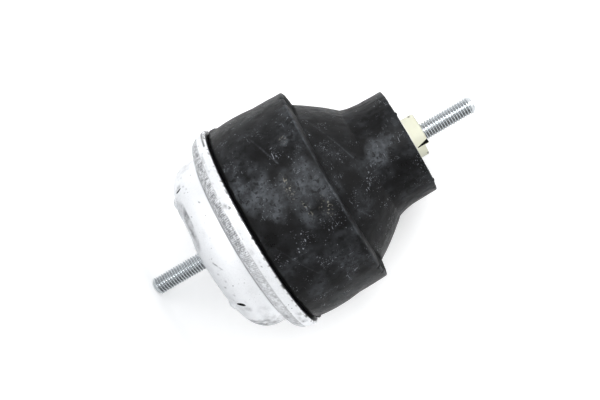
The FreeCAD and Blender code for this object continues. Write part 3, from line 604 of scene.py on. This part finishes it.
class MOUNT_OT_spring(Operator):
    """Make the rubber spring"""
    bl_idname = "mount.spring"
    bl_label = "Rubber spring"

    def execute(self, context):
        sleeve, neck = sizes().sleeve_radius / MM, sizes().neck_radius / MM
        step = sizes().grain / MM
        crease = 80.0
        lip = CRIMP_RADIUS - LIP_WIDTH
        crown, chamber, pocket = 6.0, 37.2, 42.4
        rows = outline([
            (lip, CRIMP_TOP - LIP_WALL), (lip, CRIMP_TOP), (sleeve - 1.5, CRIMP_TOP),
            (sleeve - 1.4, CRIMP_TOP + 0.6), (sleeve - 0.3, CRIMP_TOP + 1.1), (sleeve, CRIMP_TOP + 1.6),
            (sleeve, 48.0, 78.0),
            (sleeve - RIM_INSET, RIM_HEIGHT), (sleeve - 1.5, RIM_HEIGHT + 1.1, 1.1),
            (sleeve - 7.2, STEP_HEIGHT), (neck + 1.8, crease, 110.0),
            (neck, crease + 10.4, -31.0), (neck - 0.2, NECK_END - 0.8),
            (neck - 1.0, NECK_END, 0.8), (CORE_RADIUS, NECK_END),
            (CORE_RADIUS, CORE_LOW + 17.4), (9.0, CORE_LOW), (1.0, CORE_LOW),
            (1.0, STEP_HEIGHT), (crown, STEP_HEIGHT), (chamber, 41.0), (chamber, RING_LOW),
            (40.6, RING_LOW), (40.6, 46.0), (37.4, 57.4), (39.2, 57.9), (pocket, 46.5),
            (pocket, CRIMP_TOP - LIP_WALL),
        ], step, coarse=(0, *range(15, 28)))
        turned = Turned(rows, sizes().around)
        angle, height, outer = turned.angle, turned.rows[:, 1:], turned.outer()
        shown = outer * turned.band(CRIMP_TOP + 0.2, NECK_END + 1, 0.6)
        shown = shown * (turned.rows[:, :1] > CORE_RADIUS + 0.5)
        swell = mottle(angle, height, 22, 13.0, 1) + 0.5 * mottle(angle, height, 90, 4.0, 2)
        turned.push(shown * (sizes().unevenness / MM) * swell)
        # Flash and lumps where the moulding meets the can's lip
        ragged = turned.band(CRIMP_TOP, CRIMP_TOP + 0.9, 0.4) * outer * (turned.rows[:, :1] > sleeve - 2)
        torn = mottle(angle, height, 60, 1.6, 3) + 0.8 * mottle(angle, height, 240, 0.9, 4)
        flash = 0.7 * np.clip(torn + turned.patch(-84, CRIMP_TOP + 1, 26, 9) * 1.6, 0, 1.6)
        turned.push(ragged * flash * 1.25)
        lump = turned.sum(((-86, CRIMP_TOP + 2.4, 16, 5.0, 1), (88, CRIMP_TOP + 1.6, 7, 3.4, 1)), 0.9)
        turned.push(lump * (1.1 + 0.4 * np.clip(torn, -1, 1)))
        turned.push(-turned.sum((place, RIM_HEIGHT + 0.5, wide, 2.4, deep) for place, wide, deep in RIM_NICKS))
        end_face = turned.band(NECK_END - 0.7, NECK_END + 1, 0.5) * (turned.rows[:, :1] > neck - 1.6)
        tags = turned.sum((place, NECK_END - 0.5, 1.8, 2.0, 1) for place in NECK_TAGS)
        turned.push(end_face * tags * 0.5)
        turned.masks = self.masks(turned)
        piece("rubber_spring_moulded", turned.mesh("rubber_spring_moulded"),
              rubber_finish(), "rubber_spring", 35)
        return {"FINISHED"}

    @staticmethod
    def masks(turned):
        """Where dust, painted highlights, wet spots, grit and painted shade lie on the moulding."""
        angle, height = turned.angle, turned.rows[:, 1:]
        dust_and_sheen = 0.08 + 0.14 * mottle(angle, height, 16, 9.0, 11) + 0.20 * mottle(angle, height, 50, 5.0, 12)
        dust_and_sheen = turned.sum(DUST_AND_SHEEN, 0.5, dust_and_sheen)
        for start, end, wide, amount in SCRATCHES:
            dust_and_sheen = dust_and_sheen + amount * turned.streak(start, end, wide)
        # Painted shade: less dust on the cone, which faces away from the light.
        dust_and_sheen = dust_and_sheen - 0.08 * turned.band(STEP_HEIGHT - 0.2, 80, 2)
        wet = turned.most(WET, 0.7, 0.95 * turned.patch(8.0, 31.0, 10, 9.0, 0.5))
        grit = turned.most(GRITTY, 0.8)
        # Painted highlight along the rim's outer edge.
        tone_shift = 0.7 * turned.band(RIM_HEIGHT + 0.2, RIM_HEIGHT + 0.9, 0.4) * (turned.rows[:, :1] > 45.2)
        dust_and_sheen = dust_and_sheen + tone_shift * np.clip(0.45 + 0.8 * mottle(angle, height, 90, 3.0, 13), 0, 1)
        # Painted shade: near-black in the groove above the can's lip, and on the rim's top face, more so towards
        # the sides.
        painted_shade = turned.band(CRIMP_TOP - 2, CRIMP_TOP + 1.6 + 0.5 * mottle(angle, height, 90, 2.0, 14), 0.6)
        rim_crevice_shade = turned.band(62.45, 64.2, 0.3) * (turned.rows[:, :1] < 45.0) * (turned.rows[:, :1] > 38.0)
        rim_crevice_shade = rim_crevice_shade * (0.2 + 0.75 * smooth((np.abs(from_front(angle)) - 50) / 15))
        painted_shade = np.maximum(painted_shade, rim_crevice_shade) * turned.outer()
        return {"dust_and_sheen": np.clip(dust_and_sheen * (1 - painted_shade), 0, 1), "wet": wet, "grit": grit, "painted_shade": painted_shade}


def prism(build, near, far):
    """Adds a closed solid between two loops of points, in millimetres."""
    first = [build.verts.new(Vector(p) * MM) for p in near]
    last = [build.verts.new(Vector(p) * MM) for p in far]
    for k in range(len(first)):
        build.faces.new((first[k - 1], first[k], last[k], last[k - 1]))
    build.faces.new(first)
    build.faces.new(last[::-1])


def carve(made, prisms, material):
    """Cuts closed solids, each two loops of points, out of a piece, and gives the cut faces a material."""
    mesh = bpy.data.meshes.new("cutter")
    mesh.materials.append(material)
    build = bmesh.new()
    for near, far in prisms:
        prism(build, near, far)
    bmesh.ops.recalc_face_normals(build, faces=build.faces)
    build.to_mesh(mesh)
    build.free()
    cutter = bpy.data.objects.new("cutter", mesh)
    bpy.context.scene.collection.objects.link(cutter)
    cut = made.modifiers.new("cut", "BOOLEAN")
    cut.operation, cut.solver, cut.object = "DIFFERENCE", "EXACT", cutter
    cut.material_mode = "TRANSFER"
    graph = bpy.context.evaluated_depsgraph_get()
    made.data = bpy.data.meshes.new_from_object(made.evaluated_get(graph))
    made.modifiers.remove(cut)
    bpy.data.objects.remove(cutter)


def slot_prisms():
    """A lens-shaped bar through each of the four lanced slots."""
    length, width = sizes().slot_length / MM, sizes().slot_width / MM
    corner = sizes().can_corner / MM
    centre_radius = sizes().can_radius / MM - corner
    prisms = []
    for turn, share in SLOTS:
        ring = []
        for k in range(24):
            way = 2 * math.pi * k / 24
            across, along = share * width / 2 * math.cos(way), length / 2 * math.sin(way)
            ring.append((across * math.cos(SLOT_TWIST) + along * math.sin(SLOT_TWIST),
                         -across * math.sin(SLOT_TWIST) + along * math.cos(SLOT_TWIST)))
        ends = []
        for reach in (corner - 4.5, corner + 2.0):
            loop = []
            for across, along in ring:
                out = centre_radius + reach * math.cos(SLOT_TILT) + along * math.sin(SLOT_TILT)
                rise = corner - reach * math.sin(SLOT_TILT) + along * math.cos(SLOT_TILT)
                loop.append(Matrix.Rotation(math.radians(turn), 3, "Z") @ Vector((out, across, rise)))
            ends.append(loop)
        prisms.append(ends)
    return prisms


class MOUNT_OT_can(Operator):
    """Make the crimped can"""
    bl_idname = "mount.can"
    bl_label = "Can"

    def execute(self, context):
        wall, radius, corner = sizes().can_wall / MM, sizes().can_radius / MM, sizes().can_corner / MM
        step = sizes().grain / MM
        flat = radius - corner
        lip, pocket = CRIMP_RADIUS - LIP_WIDTH, 46.0
        seat, shoulder = 18.2, 21.0
        rows = outline([
            (PRESS_RADIUS, CAN_LOW), (flat, CAN_LOW), (radius, corner, corner), (radius, 15.5),
            (radius + 0.7, 16.3, -0.8), (radius + 3.3, 16.8), (radius + 7.3, shoulder, 5.6),
            (CRIMP_RADIUS, CRIMP_TOP - 0.9), (CRIMP_RADIUS - 0.9, CRIMP_TOP, 0.9), (lip, CRIMP_TOP),
            (lip, CRIMP_TOP - LIP_WALL), (pocket, CRIMP_TOP - LIP_WALL), (pocket, seat + 2.2),
            (pocket - 2.2, seat), (radius - wall + 1, seat), (radius - wall, seat - 1),
            (radius - wall, corner), (flat, wall, -(corner - wall)), (PRESS_RADIUS, wall),
        ], step, coarse=(0, *range(10, 17), 18))
        turned = Turned(rows, sizes().around)
        angle, height, outer = turned.angle, turned.rows[:, 1:], turned.outer()
        outer = outer * (turned.rows[:, :1] > 20)
        outer = outer * (np.arange(len(rows))[:, None] < len(rows) * 0.8)
        waves = 0.07 * mottle(angle, height, 14, 12.0, 21) + 0.03 * mottle(angle, height, 80, 3.0, 22)
        turned.push(outer * waves)
        chatter = turned.band(16.6, shoulder, 0.5) * outer
        rattle = mottle(angle, height, 240, 2.6, 23) + 0.6 * mottle(angle, height, 160, 1.1, 24)
        turned.push(chatter * 0.07 * rattle)
        turned.push(-turned.sum(DENTS, 0.8))
        facet = turned.patch(-28, 2.4, 31, 6.6, 0.3)
        turned.push(facet * (0.45 * mottle(angle, height, 40, 3.0, 29) - 0.4))
        for turn, _ in SLOTS:
            place = turn - FRONT
            turned.push(outer * (1.0 * turned.patch(place + 2.5, 1.7, 5.4, 3.4, 0.7)
                                 - 0.3 * turned.patch(place, 5.0, 5.0, 4.4, 0.9)))
        turned.masks = self.masks(turned, outer, chatter, facet)
        turned.radius = np.minimum(turned.radius, CRIMP_RADIUS - 0.02)
        can = piece("base_can_drawn", turned.mesh("base_can_drawn"),
                    can_finish(), "base_can", 40)
        carve(can, slot_prisms(), dark_finish("slot_shadow"))
        return {"FINISHED"}

    @staticmethod
    def masks(turned, outer, chatter, facet):
        """Where scuffs, chatter, smears of rubber and painted shade lie on the can."""
        angle, height = turned.angle, turned.rows[:, 1:]
        # A little darker towards the bottom corner; the facet's grey is painted shade.
        scuff_and_shade = 0.05 * turned.band(-1, 7.5, 3.0) + 0.15 * np.clip(mottle(angle, height, 20, 6.0, 25), 0, 1)
        scuff_and_shade = scuff_and_shade + facet * (0.55 + 0.55 * mottle(angle, height, 60, 1.6, 30))
        # How strongly scuffs and painted shade show, in patches.
        darkening = 0.75 + 0.6 * mottle(angle, height, 110, 1.3, 36)
        scuff_and_shade = scuff_and_shade + darkening * turned.sum(SCUFFS_AND_SHADE, 0.7)
        scuff_and_shade = turned.sum(((at, up, 1.6, 1.2, 0.7) for at, up in PITS), 0.8, scuff_and_shade)
        scuff_and_shade = scuff_and_shade + 0.9 * turned.streak((4.2, 5.0), (9.2, 7.2), 0.7)
        scuff_and_shade = scuff_and_shade + 1.2 * turned.patch(-31.6, 12.0, 1.3, 1.0)
        # Painted shade: a dark line in the bend between the wall and the shoulder, and a fainter one at the
        # shoulder's top.
        crease_shade = 0.9 * turned.band(15.6, 16.4, 0.4) + 0.45 * turned.band(20.8, 21.2, 0.4)
        crease_shade = crease_shade * outer * (0.75 + 0.25 * mottle(angle, height, 60, 2.0, 26))
        smear_and_gap_shade = turned.streak((-56, CRIMP_TOP - 1.2), (-98, CRIMP_TOP - 1.6), 1.1)
        smear_and_gap_shade = turned.sum(((at, up, 1.3, 1.0, much) for at, up, much in RUBBER_NICKS), 0.8, smear_and_gap_shade)
        drops = mottle(angle, height, 260, 0.8, 27) + 0.5 * mottle(angle, height, 90, 1.5, 28)
        for least, rate, low, share in ((1.12, 9, 21, 0.8), (0.2, 3, CRIMP_TOP - 0.5, 1)):
            band = turned.band(low, CRIMP_TOP + 1) * outer
            smear_and_gap_shade = np.maximum(smear_and_gap_shade, share * smooth((drops - least) * rate) * band)
        # Painted shade: the lip's top face under the rubber groove is black.
        gap = (turned.rows[:, 1:] > CRIMP_TOP - 0.05) * (turned.rows[:, :1] < CRIMP_RADIUS - 1.3)
        smear_and_gap_shade = np.maximum(smear_and_gap_shade, gap)
        side = from_front(angle)
        # Chatter marks, with painted shade that keeps them stronger on the left of the front.
        chatter_and_side_shade = chatter * (1 - 0.4 * smooth((side + 8) / 30) * smooth((110 - side) / 30))
        return {"scuff_and_shade": np.clip(scuff_and_shade, 0, 1), "chatter": chatter, "chatter_and_side_shade": chatter_and_side_shade, "crease_shade": crease_shade,
                "smear_and_gap_shade": np.clip(smear_and_gap_shade, 0, 1)}


def threaded(rows_before, low, high, rows_after, fade_low, fade_high):
    """A stud's grid: plain rows, a threaded run between two heights, and plain rows again."""
    radius, pitch, depth = (size / MM for size in (sizes().thread_radius, sizes().thread_pitch,
                                                   sizes().thread_depth))
    rows_per_pitch, steps_round = 12, 96
    count = round((high - low) / pitch * rows_per_pitch)
    run = [(radius, low + (high - low) * k / count) for k in range(count + 1)]
    rows = np.array(rows_before + run + rows_after)
    turned = Turned(rows, steps_round, closed=False)
    # Flat crests and roots, with straight flanks between them
    crest, flank, root = 0.27, 1.45, 0.92
    inside = ((rows[:, 1:] >= low) & (rows[:, 1:] <= high) & (rows[:, :1] >= radius - 1e-6)).astype(float)
    phase = (rows[:, 1:] / pitch - turned.angle / 360) % 1
    groove = np.clip(np.minimum(phase, 1 - phase) * 2 * flank - crest, 0, root) / root
    fade = smooth((rows[:, 1:] - low) / fade_low) * smooth((high - rows[:, 1:]) / fade_high)
    turned.radius = turned.radius - inside * fade * depth * groove
    # Painted shade in the thread roots, deeper on the right of the front.
    turn = from_front(turned.angle)
    right_side_shade = 0.5 + 0.5 * smooth((turn - 8) / 30) * smooth((160 - turn) / 40)
    turned.masks = {"root": inside * fade * groove * right_side_shade}
    return turned


class MOUNT_OT_studs(Operator):
    """Make both threaded studs"""
    bl_idname = "mount.studs"
    bl_label = "Studs"

    def execute(self, context):
        radius = sizes().thread_radius / MM
        zinc = thread_finish()
        chamfer = 1.3
        low = threaded(
            [(0, LOW_TIP), (radius - chamfer, LOW_TIP)], LOW_TIP + chamfer, -0.6,
            [(radius, 0), (PRESS_RADIUS, 0), (PRESS_RADIUS, 2.2), (HEAD_RADIUS, 2.2),
             (HEAD_RADIUS, HEAD_TOP - 0.8), (HEAD_RADIUS - 0.8, HEAD_TOP), (0, HEAD_TOP)], 0.5, 0.8)
        piece("lower_stud_threaded", low.mesh("lower_stud_threaded"), zinc, "lower_stud", 24)
        blind, pressed = 76.0, 96.0
        dome = [(radius - 1.0 - 0.036 * k * k, HIGH_TIP - 0.5 + 0.5 * math.sin(k / 4 * math.pi / 2))
                for k in range(4)]
        high = threaded(
            [(0, blind), (PRESS_RADIUS, blind), (PRESS_RADIUS, pressed), (SHANK_RADIUS, pressed),
             (SHANK_RADIUS, COLLAR_TOP - 1.0), (SHANK_RADIUS, COLLAR_TOP - 0.2)],
            COLLAR_TOP, HIGH_TIP - 1.5, dome + [(1.0, HIGH_TIP), (0, HIGH_TIP)], 0.6, 1.2)
        piece("upper_stud_threaded", high.mesh("upper_stud_threaded"), zinc, "upper_stud", 35)
        return {"FINISHED"}


class MOUNT_OT_collar(Operator):
    """Make the split nylon collar"""
    bl_idname = "mount.collar"
    bl_label = "Locating collar"

    def execute(self, context):
        rows = outline([
            (SHANK_RADIUS, COLLAR_LOW), (COLLAR_RADIUS, COLLAR_LOW), (COLLAR_RADIUS, COLLAR_TOP - 0.5),
            (COLLAR_RADIUS - 0.5, COLLAR_TOP, 0.5), (4.6, COLLAR_TOP), (SHANK_RADIUS, COLLAR_TOP - 1.0),
        ], 0.3)
        turned = Turned(rows, 240)
        turned.push(0.04 * mottle(turned.angle, turned.rows[:, 1:], 24, 2.0, 31))
        # The collar is painted darker along its top edge and in two spots.
        edge = turned.band(COLLAR_TOP - 0.35, COLLAR_TOP + 1, 0.4) * 0.35
        spots = ((-70, COLLAR_TOP - 2, 3, 1.6, 1), (68, COLLAR_TOP - 2.4, 3.4, 1.5, 0.8))
        turned.masks = {"darkening": np.clip(turned.sum(spots, start=edge), 0, 0.9)}
        nylon = nylon_finish()
        collar = piece("locating_collar_split", turned.mesh("locating_collar_split"),
                       nylon, "locating_collar", 35)
        # One side is stepped down, and a wedge splits the collar where the step starts.
        split = Matrix.Rotation(math.radians(29), 3, "Z")
        step_sweep, step_depth, web = 126, 2, 0.6
        reach, top = COLLAR_RADIUS + 2, COLLAR_TOP + 1
        turns = [math.radians(FRONT + step_sweep * k / 12) for k in range(1, 13)]
        fan = [(web, 0.3), (web, -reach)] + [(reach * math.cos(t), reach * math.sin(t)) for t in turns]
        carve(collar, [[[split @ Vector((x, y, z)) for x, y in fan]
                        for z in (COLLAR_TOP - step_depth, top)]], nylon)
        # The wedge's cut walls get the near-black painted shade.
        wedge = [(-0.05, CORE_SEAT + 1), (0.3, CORE_SEAT + 1), (0.3, top), (-2.0, top)]
        carve(collar, [[[split @ Vector((x, y, z)) for x, z in wedge] for y in (-reach, -3.0)]],
              dark_finish("split_shade"))
        return {"FINISHED"}


class MOUNT_OT_inner(Operator):
    """Give the core and the pieces inside their finishes"""
    bl_idname = "mount.inner"
    bl_label = "Core and inner pieces"

    def execute(self, context):
        cast = metal_finish("aluminium_cast", (0.72, 0.73, 0.74, 1), 0.35, 0.55, 0.06)
        steel = metal_finish("steel_phosphated", colours().steel, 0.4, 0.6, 0.03)
        soft = soft_finish()
        for node, finish in (("core", cast), ("channel_plate", cast), ("cover_plate", cast),
                             ("outer_ring", steel), ("bellows", soft), ("decoupler_membrane", soft)):
            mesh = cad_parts[node].data
            mesh.materials.clear()
            mesh.materials.append(finish)
        return {"FINISHED"}


# ---------------------------------------------------------------- studio

def sheet(name, rows, half, material):
    """A sheet of the stage: rows of (y, z) in metres, spread half to each side in X."""
    points = [(side, y, z) for y, z in rows for side in (-half, half)]
    mesh = bpy.data.meshes.new(name)
    mesh.from_pydata(points, [], [(2 * k, 2 * k + 1, 2 * k + 3, 2 * k + 2) for k in range(len(rows) - 1)])
    mesh.shade_smooth()
    mesh.materials.append(material)
    made = bpy.data.objects.new(name, mesh)
    bpy.context.scene.collection.objects.link(made)


def ray_kind(tree, *names):
    """An output that is 1 for rays of the named kinds and 0 for all others."""
    path = tree.nodes.new("ShaderNodeLightPath")
    kind = path.outputs[names[0]]
    for name in names[1:]:
        both = tree.nodes.new("ShaderNodeMath")
        both.operation = "MAXIMUM"
        tree.links.new(kind, both.inputs[0])
        tree.links.new(path.outputs[name], both.inputs[1])
        kind = both.outputs[0]
    return kind


def paper_finish():
    """White paper that reads as white in the view, keeps soft shadows and is clear from behind."""
    made = Finish("paper_sweep")
    tree = made.tree
    away = made.add("ShaderNodeVectorMath", operation="LENGTH", inputs={0: made.place}).outputs["Value"]
    glow = made.maths("MULTIPLY", ray_kind(tree, "Is Camera Ray"), made.range(away, 0.3, 1.2, 0.28, 0.6))
    mirrored = made.maths("MULTIPLY", ray_kind(tree, "Is Glossy Ray", "Is Transmission Ray"), 0.05)
    light = made.add("ShaderNodeEmission", inputs={"Strength": made.maths("ADD", glow, mirrored)})
    paper = tuple(colours().paper)
    fibre = made.range(made.noise(3.0), 0.3, 0.7)
    made.finish(base_color=made.blend(fibre, paper, tuple(0.98 * part for part in paper[:3]) + (1,)),
                roughness=0.9)
    made.shader.inputs["Specular IOR Level"].default_value = 0.0
    front = made.add("ShaderNodeAddShader", inputs={0: made.shader.outputs[0], 1: light.outputs[0]})
    clear = made.add("ShaderNodeBsdfTransparent")
    sided = made.add("ShaderNodeMixShader", inputs={
        0: made.add("ShaderNodeNewGeometry").outputs["Backfacing"],
        1: front.outputs[0], 2: clear.outputs[0]})
    tree.links.new(sided.outputs[0], tree.nodes["Material Output"].inputs["Surface"])
    return made.material


class MOUNT_OT_studio(Operator):
    """Set up the floor, backdrop, light and camera"""
    bl_idname = "mount.studio"
    bl_label = "Studio"

    def execute(self, context):
        studio = context.scene.mount_studio
        self.sweep()
        self.world(context, studio)
        self.lamps(studio)
        self.camera(context, studio)
        context.scene.view_settings.view_transform = "Standard"
        return {"FINISHED"}

    @staticmethod
    def axes(studio):
        """The view's forward direction, and the one that is level with the studs."""
        tip = studio.elevation
        return Vector((0, math.cos(tip), -math.sin(tip))), Vector((0, math.sin(tip), math.cos(tip)))

    @staticmethod
    def sweep():
        """Paper that runs along the floor under the lower stud and up close behind the mount."""
        floor, bend = LOW_TIP * MM - 0.0003, 0.045
        front_edge, wall_height, half, gap = -3.0, 1.1, 1.6, 0.0006
        rim = sizes().sleeve_radius / MM - RIM_INSET
        lean = math.atan((CRIMP_RADIUS - rim) / (RIM_HEIGHT - CRIMP_TOP))
        offset = (CRIMP_RADIUS * math.cos(lean) + CRIMP_TOP * math.sin(lean)) * MM + gap
        high = floor + bend
        middle = (offset - bend - high * math.sin(lean)) / math.cos(lean)
        turns = [math.radians(-90) + (math.radians(90) + lean) * k / 24 for k in range(25)]
        rows = [(front_edge, floor)]
        rows += [(middle + bend * math.cos(t), high + bend * math.sin(t)) for t in turns]
        foot = rows[-1]
        rows.append((foot[0] - wall_height * math.sin(lean), foot[1] + wall_height * math.cos(lean)))
        sheet("paper_sweep", rows, half, paper_finish())

    @staticmethod
    def world(context, studio):
        """Soft light all round, which reads as plain white in the view, in gloss and through glass."""
        world = bpy.data.worlds.new("studio")
        context.scene.world = world
        world.use_nodes = True
        tree = world.node_tree
        level = tree.nodes.new("ShaderNodeMapRange")
        seen = ray_kind(tree, "Is Camera Ray", "Is Glossy Ray", "Is Transmission Ray")
        tree.links.new(seen, level.inputs["Value"])
        level.inputs["To Min"].default_value = studio.soft_light
        level.inputs["To Max"].default_value = 1.0
        background = tree.nodes["Background"]
        tree.links.new(level.outputs["Result"], background.inputs["Strength"])
        background.inputs["Color"].default_value = (1, 1, 1, 1)

    @staticmethod
    def lamps(studio):
        """A large lamp beside the camera and another over the floor, both facing the mount."""
        centre = Vector((0, 0, 0.05))
        for name, wide, tall, power, place in (
            ("key", 0.5, 0.75, studio.key_power, Vector((-0.33, -0.93, 0.25))),
            ("top", 1.2, 1.2, studio.top_power, Vector((-0.2, -0.5, 1.3))),
        ):
            data = bpy.data.lights.new(name, "AREA")
            data.shape, data.size, data.size_y, data.energy = "RECTANGLE", wide, tall, power
            lamp = bpy.data.objects.new(name, data)
            bpy.context.scene.collection.objects.link(lamp)
            lamp.location = place
            lamp.rotation_euler = (centre - place).to_track_quat("-Z", "Y").to_euler()

    def camera(self, context, studio):
        """Almost square to the studs' axis, and rolled so that the studs run up to the right."""
        forward, level = self.axes(studio)
        side = Vector((1, 0, 0))
        lean = studio.lean
        right = side * math.sin(lean) + level * math.cos(lean)
        up = level * math.sin(lean) - side * math.cos(lean)
        aim = Vector((studio.aim_side, 0, studio.aim_height))
        data = bpy.data.cameras.new("camera")
        data.lens, data.sensor_width = studio.lens, 36.0
        camera = bpy.data.objects.new("camera", data)
        turn = Matrix((right, up, -forward)).transposed().to_4x4()
        camera.matrix_world = Matrix.Translation(aim - forward * studio.distance) @ turn
        context.scene.collection.objects.link(camera)
        context.scene.camera = camera


class MOUNT_PT_panel(Panel):
    """Lists the pieces in the sidebar"""
    bl_idname = "MOUNT_PT_panel"
    bl_label = "Engine mount"
    bl_space_type = "VIEW_3D"
    bl_region_type = "UI"
    bl_category = "Engine mount"

    def draw(self, context):
        for group in (context.scene.mount_sizes, context.scene.mount_colours, context.scene.mount_studio):
            box = self.layout.box()
            for name in group.__annotations__:
                box.prop(group, name)
        for operator in OPERATORS:
            self.layout.operator(operator.bl_idname)


OPERATORS = (MOUNT_OT_spring, MOUNT_OT_can, MOUNT_OT_studs, MOUNT_OT_collar, MOUNT_OT_inner, MOUNT_OT_studio)
CLASSES = (MountSizes, MountColours, StudioSettings) + OPERATORS + (MOUNT_PT_panel,)


def register():
    """Adds the classes and their settings."""
    for item in CLASSES:
        bpy.utils.register_class(item)
    bpy.types.Scene.mount_sizes = PointerProperty(type=MountSizes)
    bpy.types.Scene.mount_colours = PointerProperty(type=MountColours)
    bpy.types.Scene.mount_studio = PointerProperty(type=StudioSettings)


def unregister():
    """Takes the classes and their settings away again."""
    del bpy.types.Scene.mount_sizes
    del bpy.types.Scene.mount_colours
    del bpy.types.Scene.mount_studio
    for item in reversed(CLASSES):
        bpy.utils.unregister_class(item)


def main():
    """Makes every piece and the studio."""
    register()
    bpy.ops.mount.spring()
    bpy.ops.mount.can()
    bpy.ops.mount.studs()
    bpy.ops.mount.collar()
    bpy.ops.mount.inner()
    bpy.ops.mount.studio()


if __name__ == "__main__":
    main()
